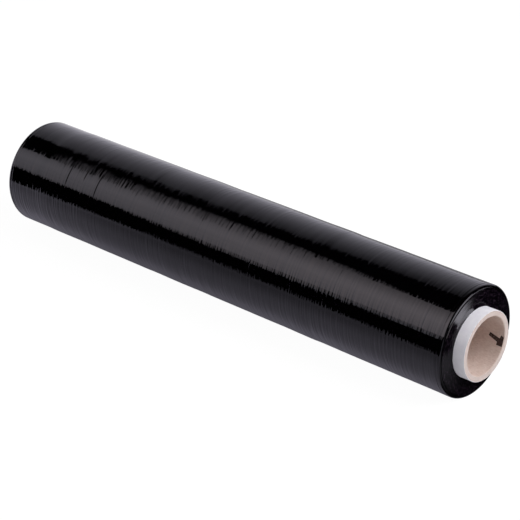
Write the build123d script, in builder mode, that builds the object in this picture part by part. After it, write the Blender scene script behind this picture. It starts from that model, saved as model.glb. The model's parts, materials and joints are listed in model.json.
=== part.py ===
from build123d import *
import os
from math import cos, degrees, pi, sin, sqrt

# Stretch wrap roll: thin film wound on a paper core, lying on its side.
# Lengths are in millimetres. The roll's axis runs along X, Z is up, and the
# origin is on the floor under the middle of the roll.

# Paper core
bore_radius = 25.0
board_wall = 4.6
cover_ply = 0.4
core_overhang = 10.0
bore_edge_chamfer = 0.6
cover_edge_chamfer = 0.2

# Film wound on the core
film_width = 500.0
film_depth = 17.85
winding_gap = 0.15
flat_spot_width = 12.0

# Outermost turns at each end: they stand a little behind the rest of the end
shoulder_radius = 2.2
shoulder_limit_share = 0.95
shoulder_steps = 3
rim_depth = 2.9
rim_setback = 0.4
rim_groove_width = 0.8
rim_groove_depth = 0.6

# Thick edge of the film, built up into a bead near each end of the roll
bead_start = 4.3
bead_groove_width = 0.8
bead_groove_depth = 0.25

# End faces: the turns lean in towards the core and part in fine rings
face_dish = 0.7
ring_depth = 0.3
turn_ring_shares = (0.84, 0.73, 0.55, 0.38, 0.17)
ring_width_share = 0.03

# Gauge bands: lanes where the film runs thick or thin, built up turn by turn
band_height = 0.12
band_count = 20
band_stagger_share = 0.3
band_phase = 2.4

# Free end of the film: a low lip along the far side of the roll
tail_lip = 0.25
tail_run_out = 3.6
tail_angle = -20.0

# Worked out from the sizes above
board_radius = bore_radius + board_wall
core_radius = board_radius + cover_ply
film_half = film_width / 2
core_length = film_width + 2 * core_overhang
film_bore_radius = core_radius + winding_gap
roll_radius = film_bore_radius + film_depth
axis_height = sqrt(roll_radius**2 - (flat_spot_width / 2) ** 2)
groove_radius = roll_radius - rim_depth
face_top = groove_radius - rim_groove_width / 2
face_height = face_top - film_bore_radius
ring_width = face_height * ring_width_share
rim_x = film_half - rim_setback
rim_foot = groove_radius + rim_groove_width / 2
bead_edge = film_half - bead_start + bead_groove_width / 2
body_half = film_half - bead_start - bead_groove_width / 2
shoulder = min(shoulder_radius, shoulder_limit_share * min(roll_radius - rim_foot, rim_x - bead_edge))

roll_axis = Axis((0, 0, axis_height), (1, 0, 0))
section_plane = Plane(origin=(0, 0, axis_height), x_dir=(1, 0, 0), z_dir=(0, -1, 0))


def end_plane(x):
    """The plane square to the roll's axis at x."""
    return Plane(origin=(x, 0, axis_height), x_dir=(0, 1, 0), z_dir=(1, 0, 0))


def face_x(radius):
    """How far out the turns of an end face stand at a radius."""
    return film_half - face_dish * (face_top - radius) / face_height


def v_groove(centre, width, depth):
    """Places and depths of a groove's near lip, bottom and far lip."""
    return (
        (centre + width / 2, 0),
        (centre, depth),
        (centre - width / 2, 0),
    )


def body_outline():
    """The wound surface between the beads, as points along the roll and out from its axis."""
    points = [(-body_half, roll_radius)]
    for i in range(1, band_count):
        share = (i + band_stagger_share * sin(band_phase * i)) / band_count
        lift = band_height * (-1) ** i * (1 + sin(i)) / 2
        points.append((body_half * (2 * share - 1), roll_radius + lift))
    points.append((body_half, roll_radius))
    return points


def bead_outline(side):
    """The groove between the wound surface and the bead at one end."""
    places = v_groove(-(film_half - bead_start), bead_groove_width, bead_groove_depth)
    return [(-side * along, roll_radius - depth) for along, depth in places]


def tail_outline():
    """The lip's section: a step on one side, running out into the wound surface on the other."""
    sunk_radius = roll_radius - 2 * band_height
    step = Vector(1, 0).rotate(Axis.Z, tail_angle)
    run_out = Vector(1, 0).rotate(Axis.Z, tail_angle + degrees(tail_run_out / roll_radius))
    return [step * (roll_radius + tail_lip), run_out * sunk_radius, step * sunk_radius]


def shoulder_outline(side):
    """The bead, the rounded corner of the outermost turns and their end down to the rim groove."""
    points = [(side * bead_edge, roll_radius)]
    for i in range(shoulder_steps + 1):
        turn = pi / 2 * i / shoulder_steps
        along = rim_x - shoulder * (1 - sin(turn))
        points.append((side * along, roll_radius - shoulder * (1 - cos(turn))))
    points.append((side * rim_x, rim_foot))
    return points


def face_outline(side):
    """One end of the roll from the rim groove down to the core."""
    points = [
        (side * rim_x, rim_foot),
        (side * (rim_x - rim_groove_depth), groove_radius),
        (side * film_half, face_top),
    ]
    for share in turn_ring_shares:
        centre = film_bore_radius + face_height * share
        for radius, depth in v_groove(centre, ring_width, ring_depth):
            points.append((side * (face_x(radius) - depth), radius))
    points.append((side * face_x(film_bore_radius), film_bore_radius))
    return points


os.makedirs("parts", exist_ok=True)

# Board tube of the core, cut square, with its bore's edges eased
with BuildPart() as core_tube:
    with BuildSketch(end_plane(-core_length / 2)):
        Circle(board_radius)
        Circle(bore_radius, mode=Mode.SUBTRACT)
    extrude(amount=core_length)
    bore_edges = core_tube.edges().filter_by(GeomType.CIRCLE).group_by(SortBy.RADIUS)[0]
    chamfer(bore_edges, length=bore_edge_chamfer)
core_tube.part.label = "core_tube"
export_step(core_tube.part, "parts/core_tube.step")

# White cover ply round the board tube
with BuildPart() as core_cover:
    with BuildSketch(end_plane(-core_length / 2)):
        Circle(core_radius)
        Circle(board_radius, mode=Mode.SUBTRACT)
    extrude(amount=core_length)
    outer_edges = core_cover.edges().filter_by(GeomType.CIRCLE).group_by(SortBy.RADIUS)[-1]
    chamfer(outer_edges, length=cover_edge_chamfer)
core_cover.part.label = "core_cover"
export_step(core_cover.part, "parts/core_cover.step")

# Wound film: one section turned about the axis, then flattened a little where it lies
with BuildPart() as film_roll:
    with BuildSketch(section_plane):
        with BuildLine():
            Polyline(*body_outline())
            for side in (-1, 1):
                Polyline(*bead_outline(side))
                Polyline(*shoulder_outline(side))
                Polyline(*face_outline(side))
            Line(face_outline(-1)[-1], face_outline(1)[-1])
        make_face()
    revolve(axis=roll_axis)
    with BuildSketch(end_plane(-body_half)):
        with BuildLine():
            Polyline(*tail_outline(), close=True)
        make_face()
    extrude(amount=2 * body_half)
    split(bisect_by=Plane.XY, keep=Keep.TOP)
film_roll.part.label = "film_roll"
export_step(film_roll.part, "parts/film_roll.step")
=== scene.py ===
import json
from math import atan2, copysign, cos, degrees, hypot, pi, radians, sin

import bmesh
import bpy
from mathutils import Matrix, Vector, noise


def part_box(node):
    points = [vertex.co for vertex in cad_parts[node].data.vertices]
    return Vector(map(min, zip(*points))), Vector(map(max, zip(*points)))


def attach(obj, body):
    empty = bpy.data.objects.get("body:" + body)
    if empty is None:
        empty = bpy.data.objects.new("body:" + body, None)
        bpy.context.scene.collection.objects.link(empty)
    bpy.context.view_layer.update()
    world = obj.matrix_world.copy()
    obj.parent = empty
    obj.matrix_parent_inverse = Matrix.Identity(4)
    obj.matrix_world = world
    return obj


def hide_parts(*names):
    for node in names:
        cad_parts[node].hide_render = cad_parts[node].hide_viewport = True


# Stretch wrap roll: glossy black film wound on a paper core that has a white cover ply.
# Lengths are in metres and angles round the roll in degrees, from +Y towards +Z.

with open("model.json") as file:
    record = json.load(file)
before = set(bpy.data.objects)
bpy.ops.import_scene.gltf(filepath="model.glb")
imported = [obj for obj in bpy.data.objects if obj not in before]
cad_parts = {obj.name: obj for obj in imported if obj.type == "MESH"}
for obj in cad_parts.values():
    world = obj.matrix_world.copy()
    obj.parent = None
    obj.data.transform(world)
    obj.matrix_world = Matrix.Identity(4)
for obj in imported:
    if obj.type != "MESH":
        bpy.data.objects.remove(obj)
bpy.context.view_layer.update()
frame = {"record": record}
MM = 0.001


def mount(name):
    """The frame record's mount of that name."""
    return next(m for m in frame["record"]["mounts"] if m["name"] == name)


# Sizes that come with the frame
CORE_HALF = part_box("core_tube")[1].x
BOARD_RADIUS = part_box("core_tube")[1].y
CORE_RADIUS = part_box("core_cover")[1].y
BORE_RADIUS = mount("core_bore")["dims"]["r_mm"] * MM
FILM_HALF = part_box("film_roll")[1].x
AXIS = Vector(mount("core_bore")["pos_m"])

# Wound film
ROLL_RADIUS = 48.0 * MM
WINDING_GAP = 0.15 * MM
FILM_BORE_RADIUS = CORE_RADIUS + WINDING_GAP
ROUND_STEPS = 100
RING_PITCH = 0.6 * MM
GAUGE_BANDS = 20
GAUGE_HEIGHT = 0.12 * MM
GAUGE_STAGGER_SHARE = 0.3
GAUGE_PHASE = 2.4
RIDGE_PITCH = 7.0 * MM
RIDGE_HEIGHT = 0.035 * MM
STREAK_PITCH = 2.6 * MM
STREAK_HEIGHT = 0.03 * MM
STREAK_LENGTH = 16.0 * MM
STREAK_NOISE_START = Vector((0, 7, 3))

# Ends of the wound film
SHOULDER_RADIUS = 2.2 * MM
SHOULDER_STEPS = 10
RIM_SETBACK = 0.4 * MM
RIM_FOOT_RADIUS = 45.5 * MM
RIM_GROOVE_RADIUS = 45.1 * MM
RIM_GROOVE_DEPTH = 0.6 * MM
FACE_TOP_RADIUS = 44.7 * MM
FACE_DISH = 0.7 * MM
FACE_STEPS = 48
TURN_RING_SHARES = (0.84, 0.73, 0.55, 0.38, 0.17)
TURN_RING_DEPTH = 0.02 * MM
TURN_RING_WIDTH_SHARE = 0.03
TURN_PITCH = 0.7 * MM
TURN_HEIGHT = 0.003 * MM
TURN_WAVINESS = 1.2
BEAD_START = 4.3 * MM
BEAD_GROOVE_WIDTH = 0.8 * MM
BEAD_GROOVE_DEPTH = 0.25 * MM
BEAD_STEPS = 6

# The bead groove's floor: places across it as shares of its width, with shares of its depth
BEAD_GROOVE_FLOOR = ((1 / 6, 0.9), (0, 1), (-1 / 6, 0.9))

# Free end of the film, on the far side
TAIL_ANGLE = -20.0
TAIL_STEP = 0.15
TAIL_LIP = 0.25 * MM
TAIL_RUN_OUT = 3.6 * MM

# Paper core
BORE_CHAMFER = 0.6 * MM
COVER_CHAMFER = 0.2 * MM
CORE_ROUND_STEPS = 128
BOARD_STEPS = 8
EDGE_FIBRE_PITCH = 1.3 * MM
EDGE_FIBRE_DEPTH = 0.05 * MM

# How near two places count as one, and how near two vertices are welded
SAME_PLACE = 0.01 * MM
WELD_DISTANCE = 0.001 * MM

# Edges sharper than these angles stay sharp, in degrees
FILM_SHARP_ANGLE = 40
BOARD_SHARP_ANGLE = 30
COVER_SHARP_ANGLE = 50


# Small helpers

def link(piece):
    bpy.context.scene.collection.objects.link(piece)
    return piece


def smoothstep(low, high, value):
    share = min(1.0, max(0.0, (value - low) / (high - low)))
    return share * share * (3 - 2 * share)


def between(knots, place):
    """The value at a place, from straight lines through pairs of places and values."""
    for (start, low), (end, high) in zip(knots, knots[1:]):
        if start <= place <= end:
            return low + (high - low) * (place - start) / (end - start)
    return knots[0][1] if place < knots[0][0] else knots[-1][1]


def around(point):
    """A point's distance from the roll's axis and its angle round it, in degrees."""
    return hypot(point.y, point.z - AXIS.z), degrees(atan2(point.z - AXIS.z, point.y))


def put(vert, radius, angle):
    """Moves a vertex to a radius and an angle round the roll's axis."""
    vert.co.y = radius * cos(radians(angle))
    vert.co.z = AXIS.z + radius * sin(radians(angle))


def turned(outline, start_angle=0.0, first_step=0.0, steps=ROUND_STEPS):
    """A ring-shaped solid: a closed outline of places along and out from the axis, spun round it."""
    bm = bmesh.new()
    ring = []
    for along, radius in outline:
        vert = bm.verts.new((along, 0, 0))
        put(vert, radius, start_angle)
        ring.append(vert)
    geom = ring + [bm.edges.new((ring[i - 1], ring[i])) for i in range(len(ring))]
    turning = {"cent": AXIS, "axis": (1, 0, 0), "dvec": (0, 0, 0)}
    if first_step:
        angle = radians(first_step)
        spun = bmesh.ops.spin(bm, geom=geom, angle=angle, steps=1, use_merge=False, **turning)
        geom = spun["geom_last"]
    angle = radians(360 - first_step)
    bmesh.ops.spin(bm, geom=geom, angle=angle, steps=steps, use_merge=True, **turning)
    bmesh.ops.remove_doubles(bm, verts=bm.verts, dist=WELD_DISTANCE)
    bmesh.ops.recalc_face_normals(bm, faces=bm.faces)
    return bm


def mesh_object(bm, name, materials):
    mesh = bpy.data.meshes.new(name)
    bm.to_mesh(mesh)
    bm.free()
    for material in materials:
        mesh.materials.append(material)
    return link(bpy.data.objects.new(name, mesh))


def finish_piece(bm, name, node, materials, sharp_angle=FILM_SHARP_ANGLE):
    piece = mesh_object(bm, name, materials)
    piece.data.polygons.foreach_set("use_smooth", [True] * len(piece.data.polygons))
    piece.data.set_sharp_from_angle(angle=radians(sharp_angle))
    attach(piece, "root")
    if node:
        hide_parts(node)
    return piece


# Outline of the wound film

BEAD_GROOVE_X = FILM_HALF - BEAD_START
BODY_HALF = BEAD_GROOVE_X - BEAD_GROOVE_WIDTH / 2
BEAD_EDGE = BEAD_GROOVE_X + BEAD_GROOVE_WIDTH / 2
RIM_X = FILM_HALF - RIM_SETBACK
FACE_HEIGHT = FACE_TOP_RADIUS - FILM_BORE_RADIUS


def face_points():
    """The end face from the core outwards: it leans in towards the core and has rings of turns."""
    points = []
    for i in range(FACE_STEPS + 1):
        share = i / FACE_STEPS
        depth = 0.0
        for centre in TURN_RING_SHARES:
            depth += TURN_RING_DEPTH * max(0.0, 1 - abs(share - centre) / TURN_RING_WIDTH_SHARE)
        points.append((FILM_HALF - FACE_DISH * (1 - share) - depth, FILM_BORE_RADIUS + FACE_HEIGHT * share))
    return points


def shoulder_points():
    """The rounded shoulder of the outermost turns, from the rim to the bead."""
    points = []
    for i in range(SHOULDER_STEPS + 1):
        turn = pi / 2 * i / SHOULDER_STEPS
        along = RIM_X - SHOULDER_RADIUS * (1 - cos(turn))
        points.append((along, ROLL_RADIUS - SHOULDER_RADIUS * (1 - sin(turn))))
    return points


def end_outline():
    """One end of the roll from the core outwards: face, rim groove, shoulder, bead and its groove."""
    points = face_points()
    points.append((RIM_X - RIM_GROOVE_DEPTH, RIM_GROOVE_RADIUS))
    points.append((RIM_X, RIM_FOOT_RADIUS))
    points += shoulder_points()
    flat_end = points[-1][0]
    for i in range(1, BEAD_STEPS + 1):
        points.append((flat_end + (BEAD_EDGE - flat_end) * i / BEAD_STEPS, ROLL_RADIUS))
    for across, depth in BEAD_GROOVE_FLOOR:
        points.append((BEAD_GROOVE_X + BEAD_GROOVE_WIDTH * across, ROLL_RADIUS - BEAD_GROOVE_DEPTH * depth))
    return points


# Creases round the roll: place along it, first and last angle, and depth
CREASES = (
    (-177.2 * MM, 122, 156, 0.04 * MM),
    (-158.1 * MM, 120, 143, 0.03 * MM),
    (-140.3 * MM, 122, 157, 0.04 * MM),
)
CREASE_WIDTH = 0.9 * MM
CREASE_FADE_ANGLE = 6
CREASE_CLEARANCE = 1.1 * CREASE_WIDTH


def film_outline():
    """The whole section of the wound film, from the far end's bore to the near end's."""
    near = end_outline()
    far = [(-along, radius) for along, radius in near]
    count = round(2 * BODY_HALF / RING_PITCH)
    places = [BODY_HALF * (2 * i / count - 1) for i in range(count + 1)]
    for middle, *_ in CREASES:
        places = [along for along in places if abs(along - middle) > CREASE_CLEARANCE]
        places += [middle + CREASE_WIDTH * step / 2 for step in (-2, -1, 0, 1, 2)]
    body = [(along, ROLL_RADIUS) for along in sorted(places)]
    return far + body + near[::-1]


# Relief of the wound film

def gauge_points():
    """Places along the roll and lifts of the lanes where the film runs thick or thin."""
    points = [(-BODY_HALF, 0.0)]
    for i in range(1, GAUGE_BANDS):
        share = (i + GAUGE_STAGGER_SHARE * sin(GAUGE_PHASE * i)) / GAUGE_BANDS
        points.append((BODY_HALF * (2 * share - 1), GAUGE_HEIGHT * (-1) ** i * (1 + sin(i)) / 2))
    points.append((BODY_HALF, 0.0))
    return points


def gauge_lift(along, points=gauge_points()):
    for (start, low), (end, high) in zip(points, points[1:]):
        if start <= along <= end:
            return low + (high - low) * smoothstep(start, end, along)
    return 0.0


# Stretch streaks: how strong they are along the roll at each of the angles round it
STREAK_ANGLES = (113, 124, 147, 154, 162, 169)
STREAK_GAINS = (
    (-250 * MM, (0.30, 0.20, 0.6, 2.6, 1.5, 1.4)),
    (-200 * MM, (0.70, 0.60, 0.6, 2.6, 1.7, 1.7)),
    (-170 * MM, (0.80, 1.80, 0.8, 2.4, 1.2, 1.5)),
    (-120 * MM, (0.80, 1.30, 0.7, 1.9, 1.2, 0.8)),
    (-70 * MM, (0.70, 2.20, 0.5, 2.0, 1.6, 1.4)),
    (20 * MM, (0.80, 1.40, 0.7, 3.2, 1.7, 1.8)),
    (130 * MM, (0.60, 0.50, 1.4, 3.4, 1.5, 1.7)),
    (220 * MM, (0.70, 0.40, 2.0, 3.8, 0.3, 1.5)),
)


def streak_gain(along, angle):
    rows = [[(start, gains[i]) for start, gains in STREAK_GAINS] for i in range(len(STREAK_ANGLES))]
    return between([(at, between(row, along)) for at, row in zip(STREAK_ANGLES, rows)], angle % 360)


def crease_share(along, angle):
    """How much of each crease's depth is reached at a place, as pairs with the depth."""
    shares = []
    for middle, first, last, depth in CREASES:
        across = max(0.0, 1 - abs(along - middle) / CREASE_WIDTH)
        fade = smoothstep(first, first + CREASE_FADE_ANGLE, angle)
        fade *= smoothstep(last, last - CREASE_FADE_ANGLE, angle)
        shares.append((min(1.0, 2 * across) * fade, depth))
    return shares


def film_lift(along, angle):
    """How far the wound surface stands out from the plain cylinder at a place on it."""
    turn = radians(angle)
    round_the_roll = Vector((0, cos(turn), sin(turn))) * ROLL_RADIUS
    lift = gauge_lift(along)
    place = Vector((along / RIDGE_PITCH, 0, 0)) + round_the_roll / (2 * STREAK_LENGTH)
    lift += RIDGE_HEIGHT * noise.noise(place)
    place = Vector((along / STREAK_PITCH, 0, 0)) + STREAK_NOISE_START + round_the_roll / STREAK_LENGTH
    lift += STREAK_HEIGHT * streak_gain(along, angle) * noise.noise(place)
    return lift - sum(share * depth for share, depth in crease_share(along, angle))


def tail_lift(angle):
    """The lip of the film's free end, highest at its edge and run out from there."""
    past_tail = radians(angle - TAIL_ANGLE) * ROLL_RADIUS
    if -SAME_PLACE < past_tail < TAIL_RUN_OUT:
        return TAIL_LIP * (1 - past_tail / TAIL_RUN_OUT)
    return 0.0


def turn_lift(radius, angle):
    """How far a fine turn of the end face stands out along the roll."""
    turn = radians(angle)
    place = Vector((radius / TURN_PITCH, cos(turn) * TURN_WAVINESS, sin(turn) * TURN_WAVINESS))
    return TURN_HEIGHT * noise.noise(place)


# The relief leaves the edges of the rim and of the bore as they are
EDGE_MARGIN = 0.1 * MM
SHOULDER_MARGIN = 0.2 * MM


def make_film(materials):
    bm = turned(film_outline(), TAIL_ANGLE - TAIL_STEP, TAIL_STEP)
    for vert in bm.verts:
        radius, angle = around(vert.co)
        if radius > RIM_FOOT_RADIUS + EDGE_MARGIN:
            on_body = smoothstep(RIM_X - SHOULDER_MARGIN, BEAD_EDGE, abs(vert.co.x))
            lift = (film_lift(vert.co.x, angle) + tail_lift(angle)) * on_body
            put(vert, radius + lift, angle)
        elif radius > FILM_BORE_RADIUS + EDGE_MARGIN:
            vert.co.x += turn_lift(radius, angle)
        vert.co.z = max(0.0, vert.co.z)
    bmesh.ops.recalc_face_normals(bm, faces=bm.faces)
    streaks = bm.verts.layers.float.new("streaks")
    creases = bm.verts.layers.float.new("creases")
    for vert in bm.verts:
        angle = around(vert.co)[1]
        vert[streaks] = streak_gain(vert.co.x, angle)
        vert[creases] = max(share for share, _ in crease_share(vert.co.x, angle))
    for face in bm.faces:
        radius = around(face.calc_center_median())[0]
        face.material_index = 1 if radius < RIM_FOOT_RADIUS else 0
    return finish_piece(bm, "wound_film", "film_roll", materials)


# Paper core

def make_board(materials):
    inner = BORE_RADIUS + BORE_CHAMFER
    wall = BOARD_RADIUS - inner
    bore = [(side * (CORE_HALF - BORE_CHAMFER), BORE_RADIUS) for side in (-1, 1)]
    near = [(CORE_HALF, inner + wall * i / BOARD_STEPS) for i in range(BOARD_STEPS + 1)]
    far = [(-along, radius) for along, radius in reversed(near)]
    bm = turned(bore + near + far, steps=CORE_ROUND_STEPS)
    for vert in bm.verts:
        at_end = abs(vert.co.x) > CORE_HALF - SAME_PLACE
        if at_end and around(vert.co)[0] < BOARD_RADIUS - SAME_PLACE:
            rough = noise.noise(Vector((0, vert.co.y, vert.co.z)) / EDGE_FIBRE_PITCH)
            vert.co.x -= copysign(EDGE_FIBRE_DEPTH * (1 + rough), vert.co.x)
    return finish_piece(bm, "core_board", "core_tube", materials, BOARD_SHARP_ANGLE)


def make_cover(materials):
    outline = [
        (-CORE_HALF, BOARD_RADIUS),
        (CORE_HALF, BOARD_RADIUS),
        (CORE_HALF, CORE_RADIUS - COVER_CHAMFER),
        (CORE_HALF - COVER_CHAMFER, CORE_RADIUS),
        (-CORE_HALF + COVER_CHAMFER, CORE_RADIUS),
        (-CORE_HALF, CORE_RADIUS - COVER_CHAMFER),
    ]
    bm = turned(outline, steps=CORE_ROUND_STEPS)
    return finish_piece(bm, "core_cover_ply", "core_cover", materials, COVER_SHARP_ANGLE)


# Printed arrow in the bore: places in from the mouth, and round the wall from +Y
ARROW_OUTLINE = (
    (14.0 * MM, -2.2 * MM),
    (15.0 * MM, -5.2 * MM),
    (6.2 * MM, -8.1 * MM),
    (6.4 * MM, -10.7 * MM),
    (0.7 * MM, -10.7 * MM),
    (0.7 * MM, -2.8 * MM),
    (3.2 * MM, -1.5 * MM),
    (4.4 * MM, -4.6 * MM),
)
INK_DEPTH = 0.03 * MM
ARROW_SLICE = 1.0 * MM


def make_arrow(materials):
    """The flat outline, cut into slices so that it bends, raised by the ink and laid on the wall."""
    bm = bmesh.new()
    bm.faces.new([bm.verts.new((CORE_HALF - inward, arc, 0)) for inward, arc in ARROW_OUTLINE])
    arcs = [arc for _, arc in ARROW_OUTLINE]
    for i in range(1, int((max(arcs) - min(arcs)) / ARROW_SLICE) + 1):
        geom = bm.verts[:] + bm.edges[:] + bm.faces[:]
        cut = (0, min(arcs) + i * ARROW_SLICE, 0)
        bmesh.ops.bisect_plane(bm, geom=geom, plane_co=cut, plane_no=(0, 1, 0))
    grown = bmesh.ops.extrude_face_region(bm, geom=bm.faces[:])
    for vert in grown["geom"]:
        if isinstance(vert, bmesh.types.BMVert):
            vert.co.z = INK_DEPTH
    for vert in bm.verts:
        put(vert, BORE_RADIUS - vert.co.z, degrees(vert.co.y / BORE_RADIUS))
    bmesh.ops.recalc_face_normals(bm, faces=bm.faces)
    return finish_piece(bm, "bore_arrow", None, materials)


# Shader nodes

def add(tree, kind, place=(0, 0), **values):
    made = tree.nodes.new(kind)
    made.location = place
    for name, value in values.items():
        setattr(made, name, value)
    return made


def fill(tree, socket, value):
    """Sets a socket to a number or a colour, or links another node's output to it."""
    if isinstance(value, bpy.types.NodeSocket):
        tree.links.new(value, socket)
    else:
        socket.default_value = (*value, 1) if isinstance(value, tuple) else value


def calc(tree, operation, values, place=(0, 0), clamp=False):
    made = add(tree, "ShaderNodeMath", place, operation=operation, use_clamp=clamp)
    for socket, value in zip(made.inputs, values):
        fill(tree, socket, value)
    return made.outputs["Value"]


def coordinates(tree, kind="Object"):
    return add(tree, "ShaderNodeTexCoord", (-1400, 0)).outputs[kind]


def stretched_coordinates(tree, scales):
    """Object coordinates scaled along the roll and across it."""
    mapping = add(tree, "ShaderNodeMapping", (-1200, 0))
    mapping.inputs["Scale"].default_value = scales
    tree.links.new(coordinates(tree), mapping.inputs["Vector"])
    return mapping.outputs["Vector"]


def split_coordinates(tree, kind="Object"):
    """The X, Y and Z of a shaded point or, for the world, of a ray's direction."""
    split = add(tree, "ShaderNodeSeparateXYZ", (-1200, 0))
    tree.links.new(coordinates(tree, kind), split.inputs["Vector"])
    return split.outputs


def noise_node(tree, place, vector, scale=1.0, detail=2.0, rough=0.5):
    made = add(tree, "ShaderNodeTexNoise", place)
    made.inputs["Detail"].default_value = detail
    made.inputs["Roughness"].default_value = rough
    fill(tree, made.inputs["Scale"], scale)
    tree.links.new(vector, made.inputs["Vector"])
    return made.outputs["Fac"]


def ring_noise(tree, place, distance, scale, detail=2.0):
    """Rings that follow the distance from the roll's axis."""
    made = add(tree, "ShaderNodeTexNoise", place, noise_dimensions="1D")
    made.inputs["Scale"].default_value = scale
    made.inputs["Detail"].default_value = detail
    tree.links.new(distance, made.inputs["W"])
    return made.outputs["Fac"]


def spread(tree, value, source, target=(0.0, 1.0), place=(0, 0)):
    """A value taken from one range to another and kept inside it."""
    made = add(tree, "ShaderNodeMapRange", place, clamp=True)
    for label, number in zip(("From Min", "From Max", "To Min", "To Max"), (*source, *target)):
        made.inputs[label].default_value = number
    tree.links.new(value, made.inputs["Value"])
    return made.outputs["Result"]


def blend(tree, share, first, second, place=(0, 0)):
    """Two colours mixed by a share."""
    made = add(tree, "ShaderNodeMix", place, data_type="RGBA")
    tree.links.new(share, made.inputs["Factor"])
    for label, colour in (("A", first), ("B", second)):
        fill(tree, next(s for s in made.inputs if s.name == label and s.type == "RGBA"), colour)
    return next(s for s in made.outputs if s.type == "RGBA")


def tinted(levels, tint=(1, 1, 1)):
    """Stops for a colour ramp: places with levels, each in the same tint."""
    return [(at, tuple(level * share for share in tint)) for at, level in levels]


def colour_ramp(tree, value, stops, place=(-400, 0)):
    made = add(tree, "ShaderNodeValToRGB", place)
    elements = made.color_ramp.elements
    for i, (at, colour) in enumerate(stops):
        stop = elements[i] if i < 2 else elements.new(at)
        stop.position = at
        stop.color = (*colour, 1)
    tree.links.new(value, made.inputs["Fac"])
    return made.outputs["Color"]


def bumped(tree, height, shader, distance):
    bump = add(tree, "ShaderNodeBump", (-200, -300))
    bump.inputs["Strength"].default_value = 1.0
    bump.inputs["Distance"].default_value = distance
    tree.links.new(height, bump.inputs["Height"])
    tree.links.new(bump.outputs["Normal"], shader.inputs["Normal"])


def glowing(tree, kind, colour, strength, place=(0, 0)):
    """An emission or a background shader."""
    made = add(tree, kind, place)
    fill(tree, made.inputs["Color"], colour)
    fill(tree, made.inputs["Strength"], strength)
    return made.outputs[0]


def joined(tree, kind, sources, place=(0, 0)):
    """A shader node whose inputs are all linked, in their order."""
    made = add(tree, kind, place)
    for socket, source in zip(made.inputs, sources):
        tree.links.new(source, socket)
    return made.outputs[0]


def fresh_material(name):
    material = bpy.data.materials.new(name)
    material.use_nodes = True
    tree = material.node_tree
    return material, tree, tree.nodes["Principled BSDF"]


def bare_material(name):
    """A material that has only its output, with the socket its surface goes into."""
    material = bpy.data.materials.new(name)
    material.use_nodes = True
    tree = material.node_tree
    tree.nodes.clear()
    return material, tree, add(tree, "ShaderNodeOutputMaterial", (800, 0)).inputs["Surface"]


# Node groups that several materials share

def grouped(name, inputs, outputs):
    """An empty node group with named values going in and coming out."""
    tree = bpy.data.node_groups.new(name, "ShaderNodeTree")
    for label, value in inputs:
        socket = tree.interface.new_socket(label, in_out="INPUT", socket_type="NodeSocketFloat")
        socket.default_value = value
    for label in outputs:
        tree.interface.new_socket(label, in_out="OUTPUT", socket_type="NodeSocketFloat")
    return tree, add(tree, "NodeGroupInput", (-1200, 0)), add(tree, "NodeGroupOutput", (600, 0))


def axis_distance():
    """How far a shaded point lies from the roll's axis, shared by the turns' edges and the board."""
    tree, start, end = grouped("axis_distance", (("Axis Height", AXIS.z),), ("Distance",))
    place = split_coordinates(tree)
    height = calc(tree, "SUBTRACT", (place["Z"], start.outputs["Axis Height"]), (-600, -100))
    squares = [calc(tree, "POWER", (value, 2.0), (-400, 0)) for value in (place["Y"], height)]
    total = calc(tree, "ADD", squares, (-200, 0))
    tree.links.new(calc(tree, "SQRT", (total,), (0, 0)), end.inputs["Distance"])
    return tree


def distance_node(tree, group):
    return add(tree, "ShaderNodeGroup", (-1200, -400), node_tree=group).outputs["Distance"]


# Paper: the fibres' default scale, how much longer they lie along the roll, mottling and specks
FIBRE_SCALE = 900.0
FIBRE_STRETCH = (0.35, 1.0, 1.0)
MOTTLE_SCALE = 160.0
SPECK_SCALE = 620.0
SPECK_LEVEL = 0.70
SPECK_EDGE = 22.0


def paper_fibres():
    """Pressed fibres, soft mottling and scattered specks, shared by board, cover and ink."""
    inputs = (("Fibre Scale", FIBRE_SCALE), ("Speck Level", SPECK_LEVEL))
    tree, start, end = grouped("paper_fibres", inputs, ("Mottle", "Fibres", "Specks"))
    mottle = noise_node(tree, (-800, 200), coordinates(tree), MOTTLE_SCALE, detail=3.0)
    along = stretched_coordinates(tree, FIBRE_STRETCH)
    fibres = noise_node(tree, (-800, -50), along, start.outputs["Fibre Scale"], detail=4.0, rough=0.65)
    cells = noise_node(tree, (-800, -300), coordinates(tree), SPECK_SCALE, detail=1.0)
    above = calc(tree, "SUBTRACT", (cells, start.outputs["Speck Level"]), (-500, -300))
    specks = calc(tree, "MULTIPLY", (above, SPECK_EDGE), (-300, -300), clamp=True)
    for label, value in (("Mottle", mottle), ("Fibres", fibres), ("Specks", specks)):
        tree.links.new(value, end.inputs[label])
    return tree


def fibre_node(tree, group, scale, level):
    made = add(tree, "ShaderNodeGroup", (-900, 0), node_tree=group)
    made.inputs["Fibre Scale"].default_value = scale
    made.inputs["Speck Level"].default_value = level
    return made.outputs


# Wound film: noise scales along the roll and across it, and relief that is too fine for its mesh
FILM_REFRACTION = 1.5
STREAK_SCALES = (500, 20, 20)
PATCH_SCALES = (60, 30, 30)
DIMPLE_SCALES = (750, 210, 210)
STREAK_RELIEF = 0.00030
DIMPLE_RELIEF = 0.00004
PATCH_RANGE = (0.35, 0.7)
FILM_ROUGHNESS = (0.02, 0.045)
FILM_TINTS = ((0.0002, 0.0001, 0.0003), (0.0007, 0.0004, 0.0009))
# Specular level on the plain film and at the bottom of a crease, turned down there as painted shade
CREASE_SHADE_SPECULAR = (0.5, 0.04)


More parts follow.
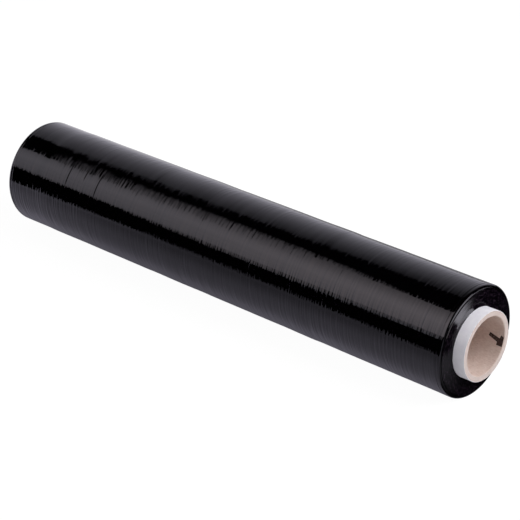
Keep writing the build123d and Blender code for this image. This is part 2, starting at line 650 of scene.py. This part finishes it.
def film_material():
    material, tree, shader = fresh_material("glossy_black_film")
    shader.inputs["IOR"].default_value = FILM_REFRACTION
    streaks = noise_node(tree, (-900, -200), stretched_coordinates(tree, STREAK_SCALES), detail=1.5)
    patches = noise_node(tree, (-900, 200), stretched_coordinates(tree, PATCH_SCALES), detail=3.0)
    dimples = noise_node(tree, (-900, -500), stretched_coordinates(tree, DIMPLE_SCALES), detail=1.0)
    gain = add(tree, "ShaderNodeAttribute", (-900, -700), attribute_name="streaks").outputs["Fac"]
    crease = add(tree, "ShaderNodeAttribute", (-900, -900), attribute_name="creases").outputs["Fac"]
    haze = spread(tree, patches, PATCH_RANGE, FILM_ROUGHNESS, (-600, 200))
    tree.links.new(haze, shader.inputs["Roughness"])
    tree.links.new(blend(tree, patches, *FILM_TINTS, (-400, 350)), shader.inputs["Base Color"])
    # Painted shade: the specular level drops inside the creases, which darkens them
    crease_shaded = spread(tree, crease, (0.0, 1.0), CREASE_SHADE_SPECULAR, (-400, -700))
    tree.links.new(crease_shaded, shader.inputs["Specular IOR Level"])
    scaled = calc(tree, "MULTIPLY", (streaks, gain), (-800, -300))
    fine = calc(tree, "MULTIPLY", (scaled, STREAK_RELIEF), (-700, -300))
    coarse = calc(tree, "MULTIPLY", (dimples, DIMPLE_RELIEF), (-700, -500))
    bumped(tree, calc(tree, "ADD", (fine, coarse), (-500, -400)), shader, 1.0)
    return material


# Edges of the turns: how far each one leans outwards, more so near the core, and their relief
TURN_LEAN = 0.28
CORE_LEAN_RADIUS = 37.0 * MM
CORE_LEAN_GROWTH = 40.0
TURN_RELIEF = 0.000008

# Their fine rings, dull patches and scuffs
TURN_SCALE = 2600.0
TURN_LINE_RANGE = (0.42, 0.68)
TURN_TINTS = ((0.0006, 0.0003, 0.0008), (0.0030, 0.0018, 0.0038))
DULL_SCALE = 55.0
END_ROUGHNESS = (0.035, 0.075)
SCUFF_SCALES = (480, 480, 480)
SCUFF_RANGE = (0.52, 0.82)
SCUFF_COLOUR = (0.040, 0.026, 0.041)


def turn_slope(tree, distance):
    """A height whose slope leans each turn outwards, steeper inside the core lean's radius."""
    inside = calc(tree, "SUBTRACT", (CORE_LEAN_RADIUS, distance), (-1100, -350))
    inside = calc(tree, "MAXIMUM", (inside, 0.0), (-1000, -350))
    square = calc(tree, "POWER", (inside, 2.0), (-900, -350))
    steeper = calc(tree, "MULTIPLY", (square, CORE_LEAN_GROWTH / 2), (-800, -350))
    return calc(tree, "MULTIPLY_ADD", (distance, -TURN_LEAN, steeper), (-700, -350))


def film_end_material(distance_group):
    material, tree, shader = fresh_material("film_end_turns")
    shader.inputs["IOR"].default_value = FILM_REFRACTION
    distance = distance_node(tree, distance_group)
    turns = ring_noise(tree, (-900, 0), distance, TURN_SCALE, detail=3.0)
    dull = noise_node(tree, (-900, 300), coordinates(tree), DULL_SCALE, detail=3.0)
    haze = spread(tree, dull, PATCH_RANGE, END_ROUGHNESS, (-600, 300))
    tree.links.new(haze, shader.inputs["Roughness"])
    lines = spread(tree, turns, TURN_LINE_RANGE, place=(-600, 0))
    tint = blend(tree, lines, *TURN_TINTS, (-300, 100))
    scratched = stretched_coordinates(tree, SCUFF_SCALES)
    scuffs = noise_node(tree, (-900, 500), scratched, detail=3.0, rough=0.6)
    scuffed = spread(tree, scuffs, SCUFF_RANGE, place=(-600, 500))
    worn = blend(tree, scuffed, tint, SCUFF_COLOUR, (-150, 300))
    tree.links.new(worn, shader.inputs["Base Color"])
    fine = calc(tree, "MULTIPLY", (turns, TURN_RELIEF), (-700, -250))
    height = calc(tree, "ADD", (turn_slope(tree, distance), fine), (-500, -250))
    bumped(tree, height, shader, 1.0)
    return material


# Board: its fibres, mottling, specks and the plies seen on its edge
BOARD_FIBRE_SCALE = 1100.0
BOARD_SPECK_LEVEL = 0.735
BOARD_GRAIN_RANGE = (0.3, 0.7)
BOARD_TINTS = ((0.56, 0.41, 0.355), (0.74, 0.60, 0.54))
BOARD_MOTTLE_RANGE = (0.3, 0.75)
BOARD_MOTTLE_SHARE = (0.0, 0.35)
BOARD_MOTTLE_COLOUR = (0.80, 0.70, 0.65)
BOARD_SPECK_COLOUR = (0.25, 0.15, 0.12)
BOARD_FIBRE_RELIEF = 0.00012
BOARD_ROUGHNESS = 0.85
BOARD_SPECULAR = 0.3
PLY_SCALE = 950.0
PLY_RANGE = (0.48, 0.62)
PLY_SHARE = (0.0, 0.5)
PLY_COLOUR = (0.50, 0.35, 0.29)

# Bare fibres of the board's cut edge, paler than its inner wall
CUT_EDGE_COLOUR = (0.605, 0.528, 0.513)
CUT_EDGE_FADE = (BORE_RADIUS + 0.2 * MM, BORE_RADIUS + 0.7 * MM)
CUT_EDGE_SHARE = (0.0, 0.6)


def board_material(fibres, distance_group):
    material, tree, shader = fresh_material("core_board_paper")
    paper = fibre_node(tree, fibres, BOARD_FIBRE_SCALE, BOARD_SPECK_LEVEL)
    distance = distance_node(tree, distance_group)
    grain = spread(tree, paper["Fibres"], BOARD_GRAIN_RANGE, place=(-600, 100))
    shade = blend(tree, grain, *BOARD_TINTS, (-300, 200))
    patches = spread(tree, paper["Mottle"], BOARD_MOTTLE_RANGE, BOARD_MOTTLE_SHARE, (-600, 0))
    mottled = blend(tree, patches, shade, BOARD_MOTTLE_COLOUR, (-100, 200))
    specked = blend(tree, paper["Specks"], mottled, BOARD_SPECK_COLOUR, (50, 200))
    plies = ring_noise(tree, (-900, -400), distance, PLY_SCALE)
    lines = spread(tree, plies, PLY_RANGE, PLY_SHARE, (-600, -400))
    layered = blend(tree, lines, specked, PLY_COLOUR, (200, 200))
    cut = spread(tree, distance, CUT_EDGE_FADE, CUT_EDGE_SHARE, (200, -400))
    tree.links.new(blend(tree, cut, layered, CUT_EDGE_COLOUR, (350, 200)), shader.inputs["Base Color"])
    shader.inputs["Roughness"].default_value = BOARD_ROUGHNESS
    shader.inputs["Specular IOR Level"].default_value = BOARD_SPECULAR
    bumped(tree, paper["Fibres"], shader, BOARD_FIBRE_RELIEF)
    return material


# White cover ply
COVER_FIBRE_SCALE = 1500.0
COVER_SPECK_LEVEL = 0.76
COVER_MOTTLE_RANGE = (0.3, 0.7)
COVER_TINTS = ((0.735, 0.715, 0.78), (0.80, 0.785, 0.835))
COVER_SPECK_COLOUR = (0.55, 0.50, 0.52)
COVER_FIBRE_RELIEF = 0.00003
COVER_ROUGHNESS = 0.55


def cover_material(fibres):
    material, tree, shader = fresh_material("white_cover_paper")
    paper = fibre_node(tree, fibres, COVER_FIBRE_SCALE, COVER_SPECK_LEVEL)
    patches = spread(tree, paper["Mottle"], COVER_MOTTLE_RANGE, place=(-600, 100))
    shade = blend(tree, patches, *COVER_TINTS, (-300, 200))
    specked = blend(tree, paper["Specks"], shade, COVER_SPECK_COLOUR, (-100, 200))
    tree.links.new(specked, shader.inputs["Base Color"])
    shader.inputs["Roughness"].default_value = COVER_ROUGHNESS
    bumped(tree, paper["Fibres"], shader, COVER_FIBRE_RELIEF)
    return material


# Ink of the printed arrow, thinner over some of the fibres
INK_FIBRE_SCALE = 1800.0
INK_SPECK_LEVEL = 0.60
INK_GRAIN_RANGE = (0.35, 0.7)
INK_TINTS = ((0.020, 0.008, 0.006), (0.060, 0.030, 0.025))
INK_COVER = (0.75, 1.0)
INK_ROUGHNESS = 0.7


def ink_material(fibres):
    material, tree, shader = fresh_material("brown_stamp_ink")
    paper = fibre_node(tree, fibres, INK_FIBRE_SCALE, INK_SPECK_LEVEL)
    grain = spread(tree, paper["Fibres"], INK_GRAIN_RANGE, place=(-600, 100))
    tree.links.new(blend(tree, grain, *INK_TINTS, (-300, 200)), shader.inputs["Base Color"])
    inked = calc(tree, "SUBTRACT", (1.0, paper["Specks"]), (-300, -100))
    tree.links.new(spread(tree, inked, (0.0, 1.0), INK_COVER, (-100, -100)), shader.inputs["Alpha"])
    shader.inputs["Roughness"].default_value = INK_ROUGHNESS
    return material


# Studio, most of it seen only as the film mirrors it

# Where the side cloth stands, a card's gap before it, the step between floor layers, a cool white
SIDE_X = 0.75
CARD_GAP = 0.001
FLOOR_LAYER = 0.2 * MM
LILAC_WHITE = (0.92, 0.90, 1.0)


def glossy_only(card):
    card.visible_camera = False
    card.visible_diffuse = False
    card.visible_shadow = False
    card.visible_transmission = False
    card.visible_volume_scatter = False
    return card


def flat_card(name, corners, material):
    bm = bmesh.new()
    bm.faces.new([bm.verts.new(corner) for corner in corners])
    return mesh_object(bm, name, [material])


def strip_card(name, first_edge, last_edge, material):
    """A card between two rows of corners."""
    bm = bmesh.new()
    rows = [[bm.verts.new(corner) for corner in row] for row in (first_edge, last_edge)]
    edges = [bm.edges.new((row[i], row[i + 1])) for row in rows for i in range(len(row) - 1)]
    bmesh.ops.bridge_loops(bm, edges=edges)
    return glossy_only(mesh_object(bm, name, [material]))


def rectangle(across, up):
    """The four corners that two ranges give."""
    return [(across[0], up[0]), (across[1], up[0]), (across[1], up[1]), (across[0], up[1])]


def emission_material(name, colour, strength):
    material, tree, surface = bare_material(name)
    tree.links.new(glowing(tree, "ShaderNodeEmission", colour, strength), surface)
    return material


def seen_directly(tree, path):
    """One for rays from the camera, also through a clear piece."""
    rays = (path["Is Camera Ray"], path["Is Transmission Ray"])
    return calc(tree, "MAXIMUM", rays, (-400, 300))


# Sky as the film mirrors it, from the horizon to straight overhead, and as it lights the roll
SKY_LEVELS = (
    (0.0, 0.90),
    (0.10, 0.84),
    (0.23, 0.79),
    (0.42, 0.68),
    (0.57, 0.55),
    (0.70, 0.37),
    (0.77, 0.19),
    (0.83, 0.07),
    (0.90, 0.02),
)
SKY_TINT = (0.96, 0.93, 1.07)
SKY_LIGHT = 0.27


def make_world():
    world = bpy.data.worlds.new("studio")
    bpy.context.scene.world = world
    world.use_nodes = True
    tree = world.node_tree
    tree.nodes.clear()
    path = add(tree, "ShaderNodeLightPath", (-800, 300)).outputs
    height = split_coordinates(tree, "Generated")["Z"]
    sky = colour_ramp(tree, height, tinted(SKY_LEVELS, SKY_TINT))
    plain = glowing(tree, "ShaderNodeBackground", (1, 1, 1), SKY_LIGHT, (0, -200))
    mirrored = glowing(tree, "ShaderNodeBackground", sky, 1, (0, 0))
    white = glowing(tree, "ShaderNodeBackground", (1, 1, 1), 1, (0, 200))
    lighting = joined(tree, "ShaderNodeMixShader", (path["Is Glossy Ray"], plain, mirrored), (200, 0))
    shown = joined(tree, "ShaderNodeMixShader", (seen_directly(tree, path), lighting, white), (400, 0))
    tree.links.new(shown, add(tree, "ShaderNodeOutputWorld", (600, 0)).inputs["Surface"])


# Floor as the film mirrors it, across the roll: its range, its levels of painted light, which fall to a
# painted shadow of the roll where it meets the floor, and casts, before and behind
FLOOR_ACROSS = (-0.5, 0.5)
FLOOR_PAINTED_LIGHT_AND_SHADOW = (
    (0.0, 0.60),
    (0.20, 0.30),
    (0.28, 0.26),
    (0.32, 0.23),
    (0.36, 0.27),
    (0.41, 0.36),
    (0.46, 0.32),
    (0.47, 0.21),
    (0.478, 0.11),
    (0.50, 0.08),
)
FLOOR_TINT = (0.93, 0.88, 1.08)
FLOOR_BEHIND_PAINTED_LIGHT = ((0.56, 0.30), (0.65, 0.25), (1.0, 0.23))
FLOOR_BEHIND_TINT = (0.97, 0.94, 1.03)

# The same along the roll: the range, and how much brighter its painted light is towards the far end
FLOOR_ALONG = (-0.5, 0.1)
FLOOR_GAIN = 2.0
FLOOR_PAINTED_LIGHT_GAINS = (
    (0.0, 1.9),
    (0.14, 1.6),
    (0.26, 1.15),
    (0.34, 0.95),
    (0.40, 0.82),
    (0.50, 0.68),
    (0.60, 0.60),
    (0.78, 0.60),
    (1.0, 0.72),
)

# Floor as it is seen: the paint takes the roll's shadow, and most of it gives way to plain white
FLOOR_HALF = 12
FLOOR_PAINT = (0.8, 0.8, 0.8)
FLOOR_WHITE = 0.97
FLOOR_WHITE_SHARE = 0.90
# How much of the floor that the film mirrors is its painted light and shade rather than the lit paint
FLOOR_MIRRORED_SHARE = 0.95


# The floor's painted light and shade as the film mirrors it: levels across the roll with a painted shadow
# of the roll, and gains along it
def mirrored_floor_painted_light(tree):
    place = split_coordinates(tree)
    across = spread(tree, place["Y"], FLOOR_ACROSS, place=(-600, -300))
    stops = tinted(FLOOR_PAINTED_LIGHT_AND_SHADOW, FLOOR_TINT) + tinted(FLOOR_BEHIND_PAINTED_LIGHT, FLOOR_BEHIND_TINT)
    colour = colour_ramp(tree, across, stops, (-400, -300))
    along = spread(tree, place["X"], FLOOR_ALONG, place=(-600, -600))
    gains = colour_ramp(tree, along, tinted(FLOOR_PAINTED_LIGHT_GAINS), (-400, -600))
    strength = calc(tree, "MULTIPLY", (gains, FLOOR_GAIN), (-200, -600))
    return glowing(tree, "ShaderNodeEmission", colour, strength, (0, -300))


def floor_material():
    material, tree, surface = bare_material("pale_floor")
    path = add(tree, "ShaderNodeLightPath", (-400, 300)).outputs
    paint = add(tree, "ShaderNodeBsdfDiffuse", (0, 0))
    fill(tree, paint.inputs["Color"], FLOOR_PAINT)
    seen = seen_directly(tree, path)
    mirrored_share = calc(tree, "MULTIPLY", (path["Is Glossy Ray"], FLOOR_MIRRORED_SHARE), (0, 150))
    white_share = calc(tree, "MULTIPLY", (seen, FLOOR_WHITE_SHARE), (0, 300))
    white_level = calc(tree, "MULTIPLY", (seen, FLOOR_WHITE), (0, 450))
    dark = glowing(tree, "ShaderNodeEmission", (1, 1, 1), 0, (300, -300))
    white = glowing(tree, "ShaderNodeEmission", (1, 1, 1), white_level, (0, -150))
    # Rays that the film mirrors see mostly the floor's painted light and shade, and little of the paint's
    # real shadow
    lighting = (mirrored_share, paint.outputs[0], mirrored_floor_painted_light(tree))
    lit = joined(tree, "ShaderNodeMixShader", lighting, (300, 0))
    thinned = joined(tree, "ShaderNodeMixShader", (white_share, lit, dark), (500, 0))
    tree.links.new(joined(tree, "ShaderNodeAddShader", (thinned, white), (650, 0)), surface)
    return material


def make_floor():
    reach = (-FLOOR_HALF, FLOOR_HALF)
    corners = [(x, y, 0) for x, y in rectangle(reach, reach)]
    floor = flat_card("floor", corners, floor_material())


# Softbox: its two long edges, its levels from the top to the foot, and how they fall off sideways
SOFTBOX_HALF = 2.4
SOFTBOX_TOP = Vector((0, -0.15, 1.683))
SOFTBOX_FOOT = Vector((0, -1.5, 0.45))
SOFTBOX_LEVELS = (
    (0.0, 0.0),
    (0.05, 0.16),
    (0.12, 0.32),
    (0.25, 0.50),
    (0.37, 0.72),
    (0.47, 0.92),
    (0.57, 1.0),
    (0.67, 0.92),
    (0.78, 0.80),
    (0.89, 0.66),
    (1.0, 0.5),
)
SOFTBOX_STRENGTH = 2.2
SOFTBOX_FALL = 0.6
SOFTBOX_COOL_REACH = (-1.6, -0.6)
SOFTBOX_TINTS = ((0.96, 0.92, 1.05), (1.0, 0.90, 0.98))


def softbox_material():
    material, tree, surface = bare_material("softbox_cloth")
    place = split_coordinates(tree)
    down = spread(tree, place["Y"], (SOFTBOX_TOP.y, SOFTBOX_FOOT.y), place=(-600, 0))
    levels = colour_ramp(tree, down, tinted(SOFTBOX_LEVELS))
    sideways = calc(tree, "ABSOLUTE", (place["X"],), (-600, -200))
    along = calc(tree, "MULTIPLY_ADD", (sideways, -SOFTBOX_FALL, SOFTBOX_STRENGTH), (-400, -200))
    strength = calc(tree, "MULTIPLY", (levels, along), (-200, -100))
    warmth = spread(tree, place["X"], SOFTBOX_COOL_REACH, place=(-400, -400))
    colour = blend(tree, warmth, *SOFTBOX_TINTS, (-200, -400))
    tree.links.new(glowing(tree, "ShaderNodeEmission", colour, strength), surface)
    return material


def make_softbox():
    sides = ((-1, SOFTBOX_TOP), (1, SOFTBOX_TOP), (1, SOFTBOX_FOOT), (-1, SOFTBOX_FOOT))
    corners = [(side * SOFTBOX_HALF, edge.y, edge.z) for side, edge in sides]
    glossy_only(flat_card("softbox", corners, softbox_material()))


# Cloth over the roll: places along it, with the cloth's back edge and its front edge
OVERHEAD_HEIGHT = 1.45
OVERHEAD_EDGES = (
    (-2.20, 0.250, -0.600),
    (-1.60, 0.250, -0.550),
    (-1.50, 0.270, -0.400),
    (-1.40, 0.310, -0.350),
    (-1.30, 0.310, -0.330),
    (-1.20, 0.330, -0.190),
    (-1.08, 0.320, -0.165),
    (-0.97, 0.335, -0.160),
    (-0.88, 0.400, -0.240),
    (-0.75, 0.440, -0.333),
    (-0.63, 0.420, -0.400),
    (0.50, 0.470, -0.500),
)

# Cloth that stands before the roll: places along it, with where its top edge is and how high
STANDING_EDGES = (
    (-1.50, -0.250, 0.128),
    (-0.41, -0.255, 0.132),
    (-0.38, -0.285, 0.146),
    (-0.30, -0.300, 0.150),
    (-0.24, -0.330, 0.151),
    (-0.15, -0.335, 0.131),
    (0.02, -0.337, 0.112),
    (0.05, -0.347, 0.106),
    (0.07, -0.340, 0.100),
    (0.10, -0.290, 0.098),
    (0.15, -0.290, 0.104),
    (0.22, -0.290, 0.160),
    (1.20, -0.290, 0.160),
)
STANDING_FOOT = 0.05

# Cloth hung before the softbox: places along the roll with how far down the box it reaches
FRONT_EDGES = (
    (-2.20, 0.42),
    (-1.52, 0.35),
    (-1.49, 0.32),
    (-1.44, 0.36),
    (-1.36, 0.35),
    (-1.27, 0.19),
    (-1.20, 0.02),
    (-0.94, 0.01),
    (-0.80, 0.15),
    (-0.72, 0.20),
    (-0.62, 0.235),
    (0.50, 0.235),
)
FRONT_OFFSET = Vector((0, 0.01, -0.011))


def front_edge(share):
    """The hung cloth's top edge at share 0 and its lower one at 1, just before the softbox."""
    places = []
    for along, reach in FRONT_EDGES:
        place = SOFTBOX_TOP.lerp(SOFTBOX_FOOT, share * reach) + FRONT_OFFSET
        places.append((along, place.y, place.z))
    return places


def make_cloths(black):
    """The three cloths that give the two dark bands."""
    back = [(along, y, OVERHEAD_HEIGHT) for along, y, _ in OVERHEAD_EDGES]
    front = [(along, y, OVERHEAD_HEIGHT) for along, _, y in OVERHEAD_EDGES]
    strip_card("overhead_cloth", back, front, black)
    foot = [(along, y + STANDING_FOOT, FLOOR_LAYER) for along, y, _ in STANDING_EDGES]
    strip_card("standing_cloth", foot, STANDING_EDGES, black)
    strip_card("softbox_cloth_edge", front_edge(0), front_edge(1), black)


# Beside the near end: a cloth that stands, a card on it, and a cloth on the floor
SIDE_CLOTH_ACROSS = (-0.6, 2.2)
SIDE_CLOTH_UP = (0.02, 2.4)
REFLECTOR_STRENGTH = 3.0
REFLECTOR_OUTLINE = (
    (0.125, 0.0),
    (0.34, 0.0),
    (0.405, 0.06),
    (0.415, 0.15),
    (0.39, 0.24),
    (0.03, 0.24),
    (0.035, 0.10),
)
FLOOR_CLOTH = (
    (0.300, 0.200),
    (0.500, 0.200),
    (0.518, 0.240),
    (0.530, 0.290),
    (0.540, 0.371),
    (0.735, 0.371),
    (0.735, 1.500),
    (0.300, 1.500),
)


def make_side_cards(black):
    side = [(SIDE_X, y, z) for y, z in rectangle(SIDE_CLOTH_ACROSS, SIDE_CLOTH_UP)]
    glossy_only(flat_card("side_cloth", side, black))
    patch = [(x, y, 3 * FLOOR_LAYER) for x, y in FLOOR_CLOTH]
    glossy_only(flat_card("floor_cloth", patch, black))
    bright = emission_material("bright_card", LILAC_WHITE, REFLECTOR_STRENGTH)
    outline = [(SIDE_X - CARD_GAP, y, z) for y, z in REFLECTOR_OUTLINE]
    glossy_only(flat_card("side_reflector", outline, bright))


# Light that the near end face mirrors from the floor beside it: places across the roll with levels
END_CARD_REACH = (-0.05, 0.37)
END_CARD_PEAK = 3.4
NEAR_CARD_LEVELS = (
    (-0.050, 0.20),
    (0.004, 0.28),
    (0.010, 0.15),
    (0.016, 0.01),
    (0.300, 0.01),
)
FAR_CARD_LEVELS = (
    (-0.050, 0.10),
    (0.030, 0.02),
    (0.114, 0.02),
    (0.124, 3.10),
    (0.172, 3.40),
    (0.215, 3.00),
    (0.252, 1.70),
    (0.278, 0.40),
    (0.298, 0.04),
)

# Along the roll: where the two cards start and meet, and how their light fades in from the end face
END_CARD_START = 0.2506
END_CARD_JOINT = 0.37
END_CARD_FADE = (0.256, 0.300)
END_CARD_FADE_LEVELS = (0.03, 1.0)


def end_card_material(name, levels):
    material, tree, surface = bare_material(name)
    place = split_coordinates(tree)
    low, high = END_CARD_REACH
    shares = [((y - low) / (high - low), level / END_CARD_PEAK) for y, level in levels]
    across = spread(tree, place["Y"], END_CARD_REACH, place=(-600, 0))
    ramp = colour_ramp(tree, across, tinted(shares))
    beside = spread(tree, place["X"], END_CARD_FADE, END_CARD_FADE_LEVELS, (-400, -300))
    faded = calc(tree, "MULTIPLY", (ramp, beside), (-200, 0))
    strength = calc(tree, "MULTIPLY", (faded, END_CARD_PEAK), (0, 0))
    tree.links.new(glowing(tree, "ShaderNodeEmission", LILAC_WHITE, strength), surface)
    return material


def make_end_card(name, start, end, levels):
    corners = [(x, y, 2 * FLOOR_LAYER) for x, y in rectangle((start, end), END_CARD_REACH)]
    glossy_only(flat_card(name, corners, end_card_material(name, levels)))


# Lamp
LAMP_PLACE = Vector((1.4, 0.5, 1.3))
LAMP_SIZES = (1.6, 1.2)
LAMP_ENERGY = 30


def make_lamp():
    light = bpy.data.lights.new("key", "AREA")
    light.shape = "RECTANGLE"
    light.size, light.size_y = LAMP_SIZES
    light.energy = LAMP_ENERGY
    lamp = link(bpy.data.objects.new("key", light))
    lamp.location = LAMP_PLACE
    lamp.rotation_mode = "QUATERNION"
    lamp.rotation_quaternion = (-LAMP_PLACE).to_track_quat("-Z", "Y")
    lamp.visible_glossy = False


# Camera, as fitted to the photograph
CAMERA_PLACE = Vector((998.6, -1097.5, 785.1)) * MM
CAMERA_AIM = Vector((21.0, 0, 43.8)) * MM
CAMERA_LENS = 132
CAMERA_SENSOR = 36
CAMERA_CLIPS = (0.05, 50)


def make_camera():
    camera = bpy.data.cameras.new("camera")
    camera.lens = CAMERA_LENS
    camera.sensor_width = CAMERA_SENSOR
    camera.clip_start, camera.clip_end = CAMERA_CLIPS
    holder = link(bpy.data.objects.new("camera", camera))
    holder.rotation_mode = "QUATERNION"
    holder.rotation_quaternion = (CAMERA_AIM - CAMERA_PLACE).to_track_quat("-Z", "Y")
    holder.location = CAMERA_PLACE
    bpy.context.scene.camera = holder


fibres = paper_fibres()
distance = axis_distance()
make_film([film_material(), film_end_material(distance)])
make_board([board_material(fibres, distance)])
make_cover([cover_material(fibres)])
make_arrow([ink_material(fibres)])
make_world()
make_floor()
make_softbox()
black_cloth = emission_material("black_cloth", (0, 0, 0), 0)
make_cloths(black_cloth)
make_side_cards(black_cloth)
make_end_card("near_card", END_CARD_START, END_CARD_JOINT, NEAR_CARD_LEVELS)
make_end_card("far_card", END_CARD_JOINT, SIDE_X - CARD_GAP, FAR_CARD_LEVELS)
make_lamp()
make_camera()
bpy.context.scene.view_settings.view_transform = "Standard"
